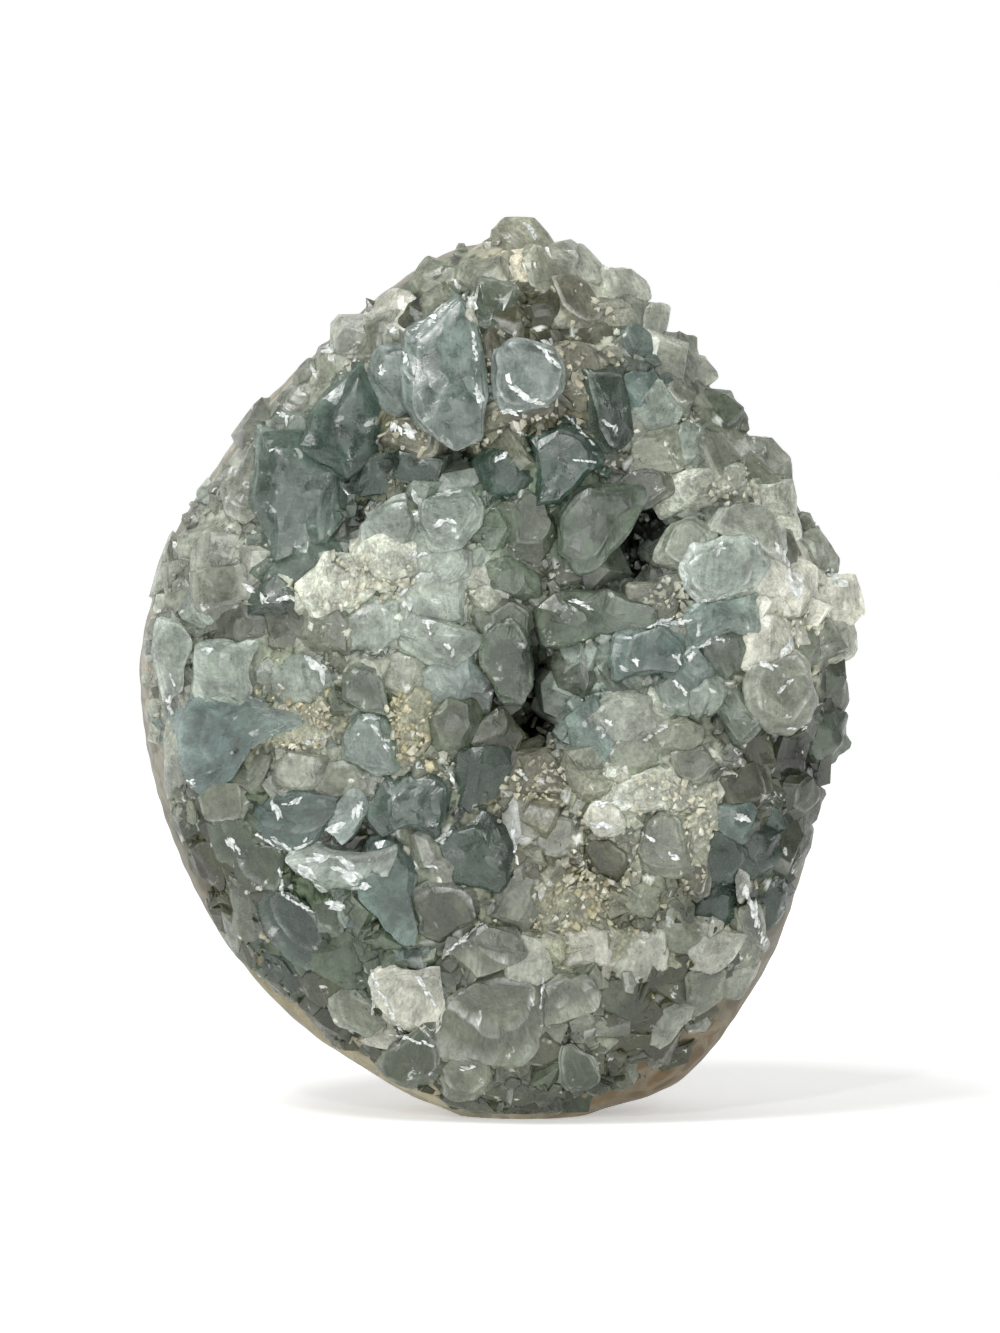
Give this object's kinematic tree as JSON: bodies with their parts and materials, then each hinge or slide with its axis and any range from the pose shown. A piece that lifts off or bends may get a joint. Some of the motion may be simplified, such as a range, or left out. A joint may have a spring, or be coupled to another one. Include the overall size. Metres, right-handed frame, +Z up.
{
  "type": "celestite geode",
  "caption": "Teardrop geode cut from matrix stone, its domed face covered by a crust of grown-together blue-grey celestite crystals, standing on a ground flat spot.",
  "frame": {"origin": "on the ground plane, under the middle of the geode's box", "axes": "+Z up, from the ground flat spot to the top; -Y the way the crystal face looks; +X to the right of someone who faces the crystals"},
  "size_m": [0.0714, 0.0461, 0.0896],
  "materials": {
    "matrix": "ground smooth, not polished",
    "crystal_crust": "natural crystal faces, glassy, partly cloudy"
  },
  "bodies": {
    "root": {"matrix": "matrix", "crystal_crust": "crystal_crust"}
  },
  "joints": []
}
